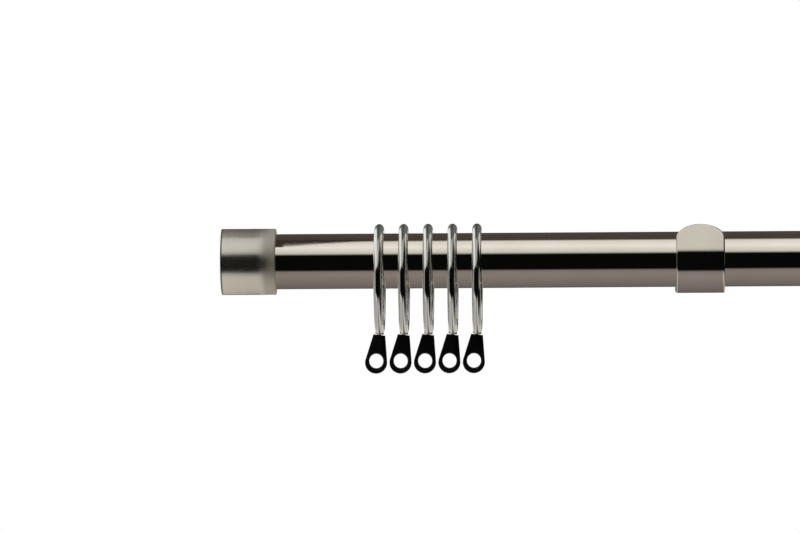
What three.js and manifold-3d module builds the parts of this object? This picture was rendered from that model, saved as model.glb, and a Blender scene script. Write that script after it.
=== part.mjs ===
// A 28 mm metal curtain pole, 1.2 m long, on two wall brackets, with end caps and curtain rings.
// Millimetres, +Z up. X runs along the pole and the wall is the plane Y = 0, behind the pole.
// The origin lies on the wall plane, midway between the brackets, level with the pole's axis.

import * as THREE from 'three';
import { mergeVertices } from 'three/addons/utils/BufferGeometryUtils.js';
import Module from 'manifold-3d';

const wasm = await Module();
wasm.setup();

// ---------- driving dimensions ----------

const GAP = 0.3; // clearance kept between neighbouring pieces

const POLE_R = 14;
const POLE_WALL = 1.2;
const POLE_LENGTH = 1200;
const POLE_TO_WALL = 80; // pole axis to wall plane

const CAP_R = 16.8;
const CAP_LENGTH = 27.6;
const CAP_BORE_DEPTH = 21;
const CAP_CHAMFER = 0.5;

const PLUG_SCREW_R = 1.9;
const PLUG_SCREW_HEAD_R = 3.8;
const PLUG_SCREW_HEAD_H = 2.4;
const PLUG_SEAT = 12; // where the screw's head bears, from the cap's rim
const PLUG_REACH = 4.3; // how far the plug goes past the cap's rim, inside the pole
const PLUG_LEAD = 0.8; // chamfer that starts the plug into the pole
const COUNTERBORE_R = 6;
const SCREW_BITE = 4.5; // depth of the screw's hole beyond the cap's bore

const BRACKET_TO_CAP = 215.2; // bracket centre to the cap's open rim
const STRAP_WIDTH = 24.5;
const STRAP_T = 2.8;
const TONGUE_LEAN = THREE.MathUtils.degToRad(17); // the tongue leans back from upright
const TONGUE_TOP = 17.9; // tip's height above the pole axis
const TONGUE_ROUND = 7; // height of the tip's half ellipse
const FLANGE_TOP = 12;
const BEND_R = 2; // inner radius where the arm turns up the wall

const PLATE_WIDTH = 21;
const PLATE_HEIGHT = 26;
const PLATE_T = 4;
const PLATE_CORNER = 2;
const WALL_SCREW_PITCH = 16;
const WALL_SCREW_R = 1.75;
const WALL_SCREW_HEAD_R = 3.5;
const WALL_SCREW_REACH = 31; // how far the tip goes into the wall
const WALL_SCREW_POINT = 4; // length of the taper at the tip
const COUNTERSINK_LIP = 0.4; // straight part at the countersink's mouth
const COUNTERSINK_DEPTH = 2.3;
const BOLT_R = 2.5;
const BOLT_HEAD_R = 4.5;
const BOLT_HEAD_H = 2.8;
const BOLT_END = 1; // what is left between the bolt's end and the wall
const BOLT_HOLE_FLOOR = 0.7; // plate left behind the blind bolt hole
const BOLT_SOCKET = { radius: 1.7, depth: 1.6 };
const LOCK_SCREW_R = 2;
const LOCK_SCREW_TIP_R = 1.3;
const LOCK_SCREW_SINK = 0.2; // how far its end lies inside the strap's lower face
const LOCK_SOCKET = { radius: 1.15, depth: 1.4 };
const PLUG_SCREW_CROSS = { depth: 1.4, span: 4 };
const WALL_SCREW_CROSS = { depth: 1.3, span: 3.6 };
const CROSS_SLOT = 0.9;

const RINGS_PER_SIDE = 5;
const RING_PITCH = 12.4;
const RING_1_TO_BRACKET = 162.7; // the ring nearest the cap
const WIRE_R = 2.25;
const RING_INNER_R = 23.5;
const RING_HOLE_R = 1.6;

const EYELET_LEAN = THREE.MathUtils.degToRad(7); // hangs with a little play, towards the cap
const EYELET_HEIGHT = 19.8;
const EYELET_R = 5.6;
const EYELET_NECK = 6;
const EYELET_T = 4.4;
const EYELET_BEVEL = 0.7;
const EYE_HALF_WIDTH = 3.55;
const EYE_HALF_HEIGHT = 3.65;
const EYE_DEPTH = 13.3; // hole centre below the eyelet's top
const STEM_R = 1;
const STEM_HEAD_R = 2.2;
const STEM_HEAD_H = 1.4;
const STEM_HEAD_TAPER = 0.6;
const STEM_ROOT = 1.5; // how far the stem runs down into the loop

const OVERRUN = 1; // how far cutting tools pass through a surface

// ---------- derived sizes ----------

const BORE_R = POLE_R - POLE_WALL;
const POLE_END = POLE_LENGTH / 2;
const CAP_RIM = POLE_END - CAP_BORE_DEPTH + GAP; // X of the cap's open rim
const BRACKET_X = CAP_RIM - BRACKET_TO_CAP;
const PLUG_R = BORE_R - GAP;
const PLUG_HOLE_R = PLUG_SCREW_R + GAP;
const SCREW_HOLE_END = CAP_BORE_DEPTH + SCREW_BITE;
const CRADLE_R = POLE_R + GAP;
const STRAP_R = CRADLE_R + STRAP_T;
const PLATE_Z = (FLANGE_TOP - STRAP_R) / 2;
const FLANGE_BACK = PLATE_T + GAP;
const FLANGE_FRONT = FLANGE_BACK + STRAP_T;
const RING_R = RING_INNER_R + WIRE_R; // centre line of the wire
const RING_Z = POLE_R + GAP - RING_INNER_R; // a ring hangs from the top of the pole
const STEM_Z = RING_Z - RING_R; // middle of the wire at the ring's lowest point

// ---------- materials ----------

const metal = (color, roughness) => new THREE.MeshStandardMaterial({ color, roughness, metalness: 1 });
const plastic = (color, roughness) => new THREE.MeshStandardMaterial({ color, roughness, metalness: 0 });

const POLISHED = metal(0xbdb6aa, 0.18);
const SATIN = metal(0xb0a898, 0.38);
const RING_METAL = metal(0xb8b4ae, 0.15);
const ZINC = metal(0xa8aaac, 0.4);
const BLACK_NYLON = plastic(0x0c0c0d, 0.35);
const WHITE_NYLON = plastic(0xdedbd2, 0.6);

// ---------- solids ----------

// Turns a closed geometry into a solid that can be joined or cut.
function solid(geometry) {
  const bare = geometry.clone();
  bare.deleteAttribute('normal');
  bare.deleteAttribute('uv');
  const merged = mergeVertices(bare, 1e-4);
  const index = merged.index.array;
  const kept = [];
  for (let i = 0; i < index.length; i += 3) {
    const [a, b, c] = [index[i], index[i + 1], index[i + 2]];
    if (a !== b && b !== c && c !== a) kept.push(a, b, c);
  }
  return new wasm.Manifold(new wasm.Mesh({
    numProp: 3,
    vertProperties: new Float32Array(merged.attributes.position.array),
    triVerts: new Uint32Array(kept),
  }));
}

function geometryOf(manifold) {
  const { vertProperties, triVerts } = manifold.getMesh();
  const geometry = new THREE.BufferGeometry();
  geometry.setAttribute('position', new THREE.BufferAttribute(vertProperties, 3));
  geometry.setIndex(new THREE.BufferAttribute(triVerts, 1));
  geometry.computeVertexNormals();
  return geometry;
}

function cut(geometry, tools) {
  const result = tools.reduce((body, tool) => body.subtract(solid(tool)), solid(geometry));
  return geometryOf(result);
}

function join(parts) {
  const [first, ...rest] = parts.map(solid);
  return geometryOf(rest.reduce((body, part) => body.add(part), first));
}

// A profile of [radius, height] points turned about the Y axis.
function turned(profile, segments) {
  return new THREE.LatheGeometry(profile.map(([r, y]) => new THREE.Vector2(r, y)), segments);
}

function rod(radius, from, to, segments) {
  return turned([[0, from], [radius, from], [radius, to], [0, to]], segments);
}

// A flat outline given a thickness, from Z = 0 up.
function slab(outline, depth, curveSegments) {
  return new THREE.ExtrudeGeometry(outline, { depth, bevelEnabled: false, curveSegments });
}

// A socket with six sides, open towards -Y.
function hexSocket(mouth, { radius, depth }) {
  return rod(radius, mouth - OVERRUN, mouth + depth, 6);
}

function mesh(name, geometry, material) {
  const piece = new THREE.Mesh(geometry, material);
  piece.name = name;
  return piece;
}

// ---------- the pole and its end caps ----------

function poleTube() {
  const profile = [
    [BORE_R, -POLE_END], [POLE_R, -POLE_END], [POLE_R, POLE_END], [BORE_R, POLE_END], [BORE_R, -POLE_END],
  ];
  return turned(profile, 40).rotateZ(-Math.PI / 2);
}

// The cap stands on the Y axis here: its open rim at Y = 0, its closed end at CAP_LENGTH.
function capShell() {
  return turned([
    [0, SCREW_HOLE_END],
    [PLUG_HOLE_R, SCREW_HOLE_END],
    [PLUG_HOLE_R, CAP_BORE_DEPTH],
    [CRADLE_R, CAP_BORE_DEPTH],
    [CRADLE_R, 0],
    [CAP_R - CAP_CHAMFER, 0],
    [CAP_R, CAP_CHAMFER],
    [CAP_R, CAP_LENGTH - CAP_CHAMFER],
    [CAP_R - CAP_CHAMFER, CAP_LENGTH],
    [0, CAP_LENGTH],
  ], 32);
}

function capPlug() {
  const end = CAP_BORE_DEPTH - GAP;
  return turned([
    [PLUG_HOLE_R, end],
    [PLUG_HOLE_R, PLUG_SEAT],
    [COUNTERBORE_R, PLUG_SEAT],
    [COUNTERBORE_R, -PLUG_REACH],
    [PLUG_R - PLUG_LEAD, -PLUG_REACH],
    [PLUG_R, PLUG_LEAD - PLUG_REACH],
    [PLUG_R, end],
    [PLUG_HOLE_R, end],
  ], 20);
}

function capScrew() {
  const seat = PLUG_SEAT - GAP;
  const crown = seat - PLUG_SCREW_HEAD_H;
  const shoulder = seat - 2 * PLUG_SCREW_HEAD_H / 3;
  const head = turned([
    [0, crown],
    [0.84 * PLUG_SCREW_HEAD_R, crown],
    [PLUG_SCREW_HEAD_R, shoulder],
    [PLUG_SCREW_HEAD_R, seat],
    [PLUG_SCREW_R, seat],
    [PLUG_SCREW_R, SCREW_HOLE_END - GAP],
    [0, SCREW_HOLE_END - GAP],
  ], 12);
  return cut(head, crossRecess(crown, PLUG_SCREW_CROSS));
}

// Two crossed slots cut into a screw's head, open towards -Y.
function crossRecess(mouth, { depth, span }) {
  const slot = [span, 2 * depth, CROSS_SLOT];
  return [slot, [...slot].reverse()].map((size) => new THREE.BoxGeometry(...size).translate(0, mouth, 0));
}

function endCap(side, name) {
  const cap = new THREE.Group();
  cap.add(mesh(`cap_${name}`, capShell(), SATIN));
  cap.add(mesh(`cap_plug_${name}`, capPlug(), WHITE_NYLON));
  cap.add(mesh(`cap_screw_${name}`, capScrew(), ZINC));
  cap.rotation.z = -side * Math.PI / 2;
  cap.position.x = side * CAP_RIM;
  return cap;
}

// ---------- the brackets ----------

// The strap seen from its edge: X is the distance behind the pole axis, Y the height above it.
function strapEdge() {
  const wallFace = POLE_TO_WALL - FLANGE_BACK;
  const roomFace = POLE_TO_WALL - FLANGE_FRONT;
  const bend = { x: roomFace - BEND_R, y: BEND_R - CRADLE_R };
  const lift = Math.PI - TONGUE_LEAN; // where the tongue leaves the round, as an angle
  const rise = (TONGUE_TOP - STRAP_R * Math.sin(lift)) / Math.cos(TONGUE_LEAN);
  const tip = (r) => [
    r * Math.cos(lift) + rise * Math.sin(TONGUE_LEAN),
    r * Math.sin(lift) + rise * Math.cos(TONGUE_LEAN),
  ];
  const edge = new THREE.Shape();
  edge.moveTo(wallFace, FLANGE_TOP);
  edge.absarc(bend.x, bend.y, BEND_R + STRAP_T, 0, -Math.PI / 2, true);
  edge.absarc(0, 0, STRAP_R, -Math.PI / 2, lift - 2 * Math.PI, true);
  edge.lineTo(...tip(STRAP_R));
  edge.lineTo(...tip(CRADLE_R));
  edge.absarc(0, 0, CRADLE_R, lift, 1.5 * Math.PI, false);
  edge.absarc(bend.x, bend.y, BEND_R, -Math.PI / 2, 0, false);
  edge.lineTo(roomFace, FLANGE_TOP);
  edge.closePath();
  return edge;
}

// The strap seen from the room: parallel sides and a half-elliptic tip.
function strapFront() {
  const half = STRAP_WIDTH / 2;
  const shoulder = TONGUE_TOP - TONGUE_ROUND;
  const foot = -STRAP_R - OVERRUN;
  const front = new THREE.Shape();
  front.moveTo(-half, foot);
  front.lineTo(half, foot);
  front.absellipse(0, shoulder, half, TONGUE_ROUND, 0, Math.PI, false, 0);
  front.closePath();
  return front;
}

function strap() {
  const edgeToWorld = new THREE.Matrix4().makeBasis(
    new THREE.Vector3(0, 1, 0), new THREE.Vector3(0, 0, 1), new THREE.Vector3(1, 0, 0));
  const bar = slab(strapEdge(), STRAP_WIDTH + 2 * OVERRUN, 12)
    .applyMatrix4(edgeToWorld)
    .translate(-STRAP_WIDTH / 2 - OVERRUN, -POLE_TO_WALL, 0);
  const outline = slab(strapFront(), 2 * POLE_TO_WALL, 14)
    .rotateX(Math.PI / 2)
    .translate(0, POLE_TO_WALL / 2, 0);
  const trimmed = geometryOf(solid(bar).intersect(solid(outline)));
  const boltHole = rod(BOLT_R + GAP, -FLANGE_FRONT - OVERRUN, -FLANGE_BACK + OVERRUN, 16)
    .translate(0, 0, PLATE_Z);
  const lockHole = rod(LOCK_SCREW_R + GAP, -STRAP_R - OVERRUN, -CRADLE_R + OVERRUN, 16)
    .rotateX(Math.PI / 2)
    .translate(0, -POLE_TO_WALL, 0);
  return cut(trimmed, [boltHole, lockHole]);
}

function screwHeights() {
  return [PLATE_Z + WALL_SCREW_PITCH / 2, PLATE_Z - WALL_SCREW_PITCH / 2];
}

function wallPlate() {
  const [w, h, r] = [PLATE_WIDTH / 2, PLATE_HEIGHT / 2, PLATE_CORNER];
  const outline = new THREE.Shape();
  outline.absarc(w - r, h - r, r, 0, Math.PI / 2, false);
  outline.absarc(r - w, h - r, r, Math.PI / 2, Math.PI, false);
  outline.absarc(r - w, r - h, r, Math.PI, 1.5 * Math.PI, false);
  outline.absarc(w - r, r - h, r, 1.5 * Math.PI, 2 * Math.PI, false);
  const plate = slab(outline, PLATE_T, 3)
    .rotateX(Math.PI / 2)
    .translate(0, 0, PLATE_Z);
  const countersunk = screwHeights().map((z) => turned([
    [0, -PLATE_T - OVERRUN],
    [WALL_SCREW_HEAD_R + GAP, -PLATE_T - OVERRUN],
    [WALL_SCREW_HEAD_R + GAP, -PLATE_T + COUNTERSINK_LIP],
    [WALL_SCREW_R + GAP, -PLATE_T + COUNTERSINK_DEPTH],
    [WALL_SCREW_R + GAP, OVERRUN],
    [0, OVERRUN],
  ], 16).translate(0, 0, z));
  const tapped = rod(BOLT_R + GAP, -PLATE_T - OVERRUN, -BOLT_HOLE_FLOOR, 16).translate(0, 0, PLATE_Z);
  return cut(plate, [...countersunk, tapped]);
}

function wallScrew() {
  const screw = turned([
    [0, -PLATE_T],
    [WALL_SCREW_HEAD_R, -PLATE_T],
    [WALL_SCREW_HEAD_R, -PLATE_T + COUNTERSINK_LIP - GAP],
    [WALL_SCREW_R, -PLATE_T + COUNTERSINK_DEPTH - GAP],
    [WALL_SCREW_R, WALL_SCREW_REACH - WALL_SCREW_POINT],
    [0, WALL_SCREW_REACH],
  ], 12);
  return cut(screw, crossRecess(-PLATE_T, WALL_SCREW_CROSS));
}

function flangeBolt() {
  const seat = -FLANGE_FRONT - GAP;
  const crown = seat - BOLT_HEAD_H;
  const bolt = turned([
    [0, crown],
    [0.55 * BOLT_HEAD_R, crown],
    [0.88 * BOLT_HEAD_R, crown + 0.36 * BOLT_HEAD_H],
    [BOLT_HEAD_R, crown + 0.78 * BOLT_HEAD_H],
    [BOLT_HEAD_R, seat],
    [BOLT_R, seat],
    [BOLT_R, -BOLT_END],
    [0, -BOLT_END],
  ], 16);
  return cut(bolt, [hexSocket(crown, BOLT_SOCKET)]);
}

// The lock screw stands on the Y axis here, with its socket at the low end.
function lockScrew() {
  const foot = LOCK_SCREW_SINK - STRAP_R;
  const tip = -CRADLE_R;
  const chamfer = LOCK_SCREW_R - LOCK_SCREW_TIP_R;
  const screw = turned([
    [0, foot],
    [LOCK_SCREW_R, foot],
    [LOCK_SCREW_R, tip - chamfer],
    [LOCK_SCREW_TIP_R, tip],
    [0, tip],
  ], 12);
  return cut(screw, [hexSocket(foot, LOCK_SOCKET)]).rotateX(Math.PI / 2);
}

function bracket(side, name) {
  const group = new THREE.Group();
  group.add(mesh(`bracket_strap_${name}`, strap(), POLISHED));
  group.add(mesh(`wall_plate_${name}`, wallPlate(), ZINC));
  group.add(mesh(`flange_bolt_${name}`, flangeBolt().translate(0, 0, PLATE_Z), ZINC));
  const [upper, lower] = screwHeights();
  group.add(mesh(`wall_screw_upper_${name}`, wallScrew().translate(0, 0, upper), ZINC));
  group.add(mesh(`wall_screw_lower_${name}`, wallScrew().translate(0, 0, lower), ZINC));
  group.add(mesh(`lock_screw_${name}`, lockScrew().translate(0, -POLE_TO_WALL, 0), ZINC));
  group.position.x = side * BRACKET_X;
  return group;
}

// ---------- the rings and their eyelets ----------

// A wire ring about the X axis. A short boss at its lowest point is drilled for the eyelet's stem,
// and both lean with the stem.
function wireRing(side) {
  const wire = new THREE.TorusGeometry(RING_R, WIRE_R, 8, 24).rotateY(Math.PI / 2);
  const alongStem = (radius, from, to, segments) => rod(radius, from, to, segments)
    .rotateX(Math.PI / 2)
    .rotateY(-side * EYELET_LEAN)
    .translate(0, 0, -RING_R);
  const boss = alongStem(WIRE_R, -WIRE_R, 0, 12);
  const drill = alongStem(RING_HOLE_R, -WIRE_R - OVERRUN, WIRE_R + OVERRUN, 10);
  return cut(join([wire, boss]), [drill]);
}

function ellipse(x, y, halfWidth, halfHeight, sides) {
  const corners = [];
  for (let i = 0; i < sides; i += 1) {
    const angle = -2 * Math.PI * i / sides;
    corners.push(new THREE.Vector2(x + halfWidth * Math.cos(angle), y + halfHeight * Math.sin(angle)));
  }
  return new THREE.Path(corners);
}

// A drop-shaped loop hanging below Y = 0, with its stem and head above: Y is up here.
function eyelet() {
  const top = -WIRE_R - GAP;
  const centre = top - EYELET_HEIGHT + EYELET_R;
  const neck = EYELET_NECK / 2;
  const reach = Math.hypot(neck, top - centre);
  const touch = Math.atan2(top - centre, neck) - Math.acos(EYELET_R / reach); // tangent from the neck
  const drop = new THREE.Shape();
  drop.moveTo(neck, top);
  drop.lineTo(-neck, top);
  drop.absarc(0, centre, EYELET_R, Math.PI - touch, 2 * Math.PI + touch, false);
  drop.holes.push(ellipse(0, top - EYE_DEPTH, EYE_HALF_WIDTH, EYE_HALF_HEIGHT, 14));
  const flat = EYELET_T - 2 * EYELET_BEVEL;
  const loop = new THREE.ExtrudeGeometry(drop, {
    depth: flat,
    bevelEnabled: true,
    bevelThickness: EYELET_BEVEL,
    bevelSize: EYELET_BEVEL,
    bevelOffset: -EYELET_BEVEL,
    bevelSegments: 1,
    curveSegments: 7,
  }).translate(0, 0, -flat / 2);
  const seat = WIRE_R + GAP;
  const stem = turned([
    [0, top - STEM_ROOT],
    [STEM_R, top - STEM_ROOT],
    [STEM_R, seat],
    [STEM_HEAD_R, seat],
    [STEM_HEAD_R - STEM_HEAD_TAPER, seat + STEM_HEAD_H],
    [0, seat + STEM_HEAD_H],
  ], 10);
  return join([loop, stem]).rotateX(Math.PI / 2);
}

function ringWithEyelet(side, name, number) {
  const group = new THREE.Group();
  const ring = mesh(`ring_${name}_${number}`, wireRing(side), RING_METAL);
  ring.position.z = RING_Z;
  const loop = mesh(`eyelet_${name}_${number}`, eyelet(), BLACK_NYLON);
  loop.position.z = STEM_Z;
  loop.rotation.y = -side * EYELET_LEAN;
  group.add(ring, loop);
  group.position.x = side * (BRACKET_X + RING_1_TO_BRACKET - (number - 1) * RING_PITCH);
  group.position.y = -POLE_TO_WALL;
  return group;
}

// ---------- the assembly ----------

const group = new THREE.Group();

const pole = mesh('pole', poleTube(), POLISHED);
pole.position.y = -POLE_TO_WALL;
group.add(pole);

for (const [side, name] of [[-1, 'left'], [1, 'right']]) {
  const cap = endCap(side, name);
  cap.position.y = -POLE_TO_WALL;
  group.add(cap, bracket(side, name));
  for (let number = 1; number <= RINGS_PER_SIDE; number += 1) {
    group.add(ringWithEyelet(side, name, number));
  }
}

export default group;
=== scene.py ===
# Looks for the curtain pole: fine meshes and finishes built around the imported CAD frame. Metres, +Z up.
import math

import bmesh
import bpy
from mathutils import Matrix, Vector


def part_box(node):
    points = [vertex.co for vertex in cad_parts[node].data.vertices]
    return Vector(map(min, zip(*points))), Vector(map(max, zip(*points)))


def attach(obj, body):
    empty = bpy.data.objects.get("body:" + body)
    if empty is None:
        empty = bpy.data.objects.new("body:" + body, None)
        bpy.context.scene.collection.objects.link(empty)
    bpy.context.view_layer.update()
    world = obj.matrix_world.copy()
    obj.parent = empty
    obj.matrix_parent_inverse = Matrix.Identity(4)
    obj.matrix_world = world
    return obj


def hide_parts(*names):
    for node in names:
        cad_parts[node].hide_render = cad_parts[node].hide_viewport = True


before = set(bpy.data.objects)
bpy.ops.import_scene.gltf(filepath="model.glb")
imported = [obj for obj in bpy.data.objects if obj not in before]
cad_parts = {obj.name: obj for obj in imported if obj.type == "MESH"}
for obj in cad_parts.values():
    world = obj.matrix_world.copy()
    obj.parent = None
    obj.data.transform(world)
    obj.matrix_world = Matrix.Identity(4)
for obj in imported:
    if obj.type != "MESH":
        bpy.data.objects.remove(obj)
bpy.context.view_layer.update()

MM = 0.001
TAU = 2 * math.pi
SIDES = (("left", -1), ("right", 1))
RINGS_PER_SIDE = 5
GAP = 0.3 * MM  # clearance kept between neighbouring pieces
OVERRUN = 1 * MM  # how far cutting tools pass through a surface
SHARP = 32  # degrees: edges sharper than this stay sharp


# ---------- sizes read from the frame ----------

def middle(node):
    low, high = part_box(node)
    return (low + high) / 2


def extent(node):
    low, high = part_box(node)
    return high - low


POLE_AXIS = middle("pole")
POLE_R = extent("pole").z / 2
POLE_END = extent("pole").x / 2
POLE_WALL = 1.2 * MM
BORE_R = POLE_R - POLE_WALL

CAP_R = extent("cap_left").z / 2
CAP_LENGTH = extent("cap_left").x
CAP_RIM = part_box("cap_right")[0].x  # X of the right cap's open rim
CAP_BORE_R = POLE_R + GAP
CAP_BORE_DEPTH = 21 * MM
CAP_SCREW_HOLE = 25.5 * MM
PLUG_SCREW_R = 1.9 * MM
PLUG_HOLE_R = PLUG_SCREW_R + GAP
PLUG_SEAT = 12 * MM  # where the screw's head bears, from the cap's rim
PLUG_REACH = 4.3 * MM  # how far the plug goes past the cap's rim, inside the pole
PLUG_LEAD = 0.8 * MM

STRAP_WIDTH = extent("bracket_strap_left").x
STRAP_T = 2.8 * MM
STRAP_OUTER_R = POLE_AXIS.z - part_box("bracket_strap_left")[0].z
STRAP_MID_R = STRAP_OUTER_R - STRAP_T / 2
FLANGE_TOP = 12 * MM
FLANGE_BACK = -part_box("bracket_strap_left")[1].y
TONGUE_LEAN = math.radians(17)
TONGUE_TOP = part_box("bracket_strap_left")[1].z
TONGUE_ROUND = 7 * MM
BEND_MID_R = 2 * MM + STRAP_T / 2
BOLT_R = 2.5 * MM
BOLT_HOLE_R = BOLT_R + GAP
LOCK_HOLE_R = 2.3 * MM
WALL_SCREW_R = 1.75 * MM
WALL_SCREW_HEAD_R = 3.5 * MM
WALL_SCREW_PITCH = 16 * MM
COUNTERSINK_LIP = 0.4 * MM
COUNTERSINK_DEPTH = 2.3 * MM

RING_WIRE_R = 2.25 * MM
RING_R = extent("ring_left_1").y / 2 - RING_WIRE_R
RING_Z = POLE_R + GAP - (RING_R - RING_WIRE_R)
EYELET_LEAN = math.radians(7)


# ---------- mesh helpers ----------

def tidy_mesh(mesh, sharp_angle):
    """Welds doubles, points the faces outward and smooths all but the sharp edges."""
    work = bmesh.new()
    work.from_mesh(mesh)
    bmesh.ops.remove_doubles(work, verts=work.verts, dist=1e-7)
    bmesh.ops.dissolve_degenerate(work, edges=work.edges, dist=1e-8)
    bmesh.ops.recalc_face_normals(work, faces=work.faces)
    work.to_mesh(mesh)
    work.free()
    mesh.shade_smooth()
    mesh.set_sharp_from_angle(angle=math.radians(sharp_angle))


def new_piece(name, verts, faces, sharp_angle=SHARP):
    mesh = bpy.data.meshes.new(name)
    mesh.from_pydata([tuple(v) for v in verts], [], faces)
    tidy_mesh(mesh, sharp_angle)
    piece = bpy.data.objects.new(name, mesh)
    bpy.context.scene.collection.objects.link(piece)
    return piece


def combine(piece, others, operation):
    """Joins or cuts a piece with other objects, which are then removed."""
    for other in others:
        step = piece.modifiers.new("combine", "BOOLEAN")
        step.operation = operation
        step.solver = "EXACT"
        step.object = other
    bpy.context.view_layer.update()
    done = bpy.data.meshes.new_from_object(piece.evaluated_get(bpy.context.evaluated_depsgraph_get()))
    piece.modifiers.clear()
    piece.data = done
    for other in others:
        bpy.data.objects.remove(other)
    return piece


def moved(piece, matrix):
    piece.data.transform(matrix)
    return piece


def copy_of(piece, name, matrix=Matrix.Identity(4)):
    twin = bpy.data.objects.new(name, piece.data.copy())
    bpy.context.scene.collection.objects.link(twin)
    return moved(twin, matrix)


def turn_to_x(side):
    """Lays a piece turned about Z along X, with its +Z pointing to that side."""
    return Matrix.Rotation(side * math.pi / 2, 4, "Y")


TURN_TO_Y = Matrix.Rotation(-math.pi / 2, 4, "X")  # lays +Z along +Y


def fillet(points, radius, steps=5):
    """Rounds the corners of an open outline. radius is one size, or a size for each point."""
    radii = radius if isinstance(radius, (list, tuple)) else [radius] * len(points)
    out = [Vector(points[0])]
    for before, here, after, size in zip(points, points[1:], points[2:], radii[1:]):
        before, here, after = Vector(before), Vector(here), Vector(after)
        into, away = before - here, after - here
        reach = min(size, into.length * 0.49, away.length * 0.49)
        if reach < 1e-7:
            out.append(here)
            continue
        start = here + into.normalized() * reach
        end = here + away.normalized() * reach
        for i in range(steps + 1):
            t = i / steps
            out.append(start * (1 - t) ** 2 + here * 2 * t * (1 - t) + end * t ** 2)
    out.append(Vector(points[-1]))
    return out


def turned(name, profile, segments, sharp_angle=SHARP, closed=False):
    """A profile of (radius, height) points turned about Z. closed joins its last point to its first."""
    verts, faces, rows = [], [], []
    for radius, height in profile:
        if radius < 1e-7:
            rows.append([len(verts)] * segments)
            verts.append((0, 0, height))
            continue
        rows.append([len(verts) + i for i in range(segments)])
        for i in range(segments):
            angle = TAU * i / segments
            verts.append((radius * math.cos(angle), radius * math.sin(angle), height))
    pairs = list(zip(rows, rows[1:]))
    if closed:
        pairs.append((rows[-1], rows[0]))
    for low, high in pairs:
        for i in range(segments):
            j = (i + 1) % segments
            corners = [low[i], low[j], high[j], high[i]]
            face = [v for k, v in enumerate(corners) if v not in corners[:k]]
            if len(face) > 2:
                faces.append(face)
    return new_piece(name, verts, faces, sharp_angle)


def lofted(name, loops, sharp_angle=SHARP, closed=True):
    """Skins a row of equal vertex loops. closed joins the last to the first, or else both ends are capped."""
    count = len(loops[0])
    verts = [v for loop in loops for v in loop]
    faces = []
    spans = len(loops) if closed else len(loops) - 1
    for k in range(spans):
        low, high = k * count, ((k + 1) % len(loops)) * count
        for i in range(count):
            j = (i + 1) % count
            faces.append((low + i, low + j, high + j, high + i))
    if not closed:
        faces.append(tuple(reversed(range(count))))
        faces.append(tuple((len(loops) - 1) * count + i for i in range(count)))
    return new_piece(name, verts, faces, sharp_angle)


def prism(name, radius, sides, low, high):
    return turned(name, [(0, low), (radius, low), (radius, high), (0, high)], sides, sharp_angle=20)


# ---------- node material helpers ----------

class Finish:
    """Builds one node material around a Principled shader, placed by object coordinates."""

    def __init__(self, name):
        self.material = bpy.data.materials.new(name)
        self.material.use_nodes = True
        self.nodes = self.material.node_tree.nodes
        self.links = self.material.node_tree.links
        self.shader = self.nodes["Principled BSDF"]
        self.place = self.nodes.new("ShaderNodeTexCoord").outputs["Object"]

    def node(self, kind, inputs=(), **settings):
        made = self.nodes.new(kind)
        for key, value in settings.items():
            setattr(made, key, value)
        for key, value in dict(inputs).items():
            self.feed(made.inputs[key], value)
        return made

    def feed(self, socket, value):
        if isinstance(value, bpy.types.NodeSocket):
            self.links.new(value, socket)
        else:
            socket.default_value = value

    def noise(self, scale, detail=3.0, stretch=(1, 1, 1), roughness=0.55):
        """Noise in metres: scale is in features a metre, and stretch squeezes it along each axis."""
        mapping = self.node("ShaderNodeMapping", {"Vector": self.place, "Scale": stretch})
        texture = self.node("ShaderNodeTexNoise", {
            "Vector": mapping.outputs["Vector"], "Scale": scale, "Detail": detail, "Roughness": roughness})
        return texture.outputs["Fac"]

    def ranged(self, value, from_low, from_high, to_low, to_high):
        return self.node("ShaderNodeMapRange", {
            "Value": value, "From Min": from_low, "From Max": from_high, "To Min": to_low, "To Max": to_high,
        }).outputs["Result"]

    def math(self, operation, a, b=0.0, c=0.0):
        return self.node("ShaderNodeMath", {0: a, 1: b, 2: c}, operation=operation).outputs["Value"]

    def blend(self, factor, a, b):
        mix = self.node("ShaderNodeMix", data_type="RGBA")
        for socket, value in zip((mix.inputs[0], mix.inputs[6], mix.inputs[7]), (factor, a, b)):
            self.feed(socket, value)
        return mix.outputs[2]

    def edges(self, low=0.52, high=0.62):
        """1 on worn convex edges, 0 on flats and hollows."""
        pointed = self.nodes.new("ShaderNodeNewGeometry").outputs["Pointiness"]
        return self.ranged(pointed, low, high, 0.0, 1.0)

    def bump(self, *heights):
        """Stacks (height, depth in metres) pairs into one bump."""
        normal = None
        for height, depth in heights:
            step = self.node("ShaderNodeBump", {"Height": height, "Strength": 1.0, "Distance": depth})
            if normal:
                self.links.new(normal, step.inputs["Normal"])
            normal = step.outputs["Normal"]
        self.links.new(normal, self.shader.inputs["Normal"])

    def set(self, **values):
        for key, value in values.items():
            self.feed(self.shader.inputs[key.replace("_", " ")], value)


def rgba(r, g, b):
    return (r, g, b, 1.0)


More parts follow.
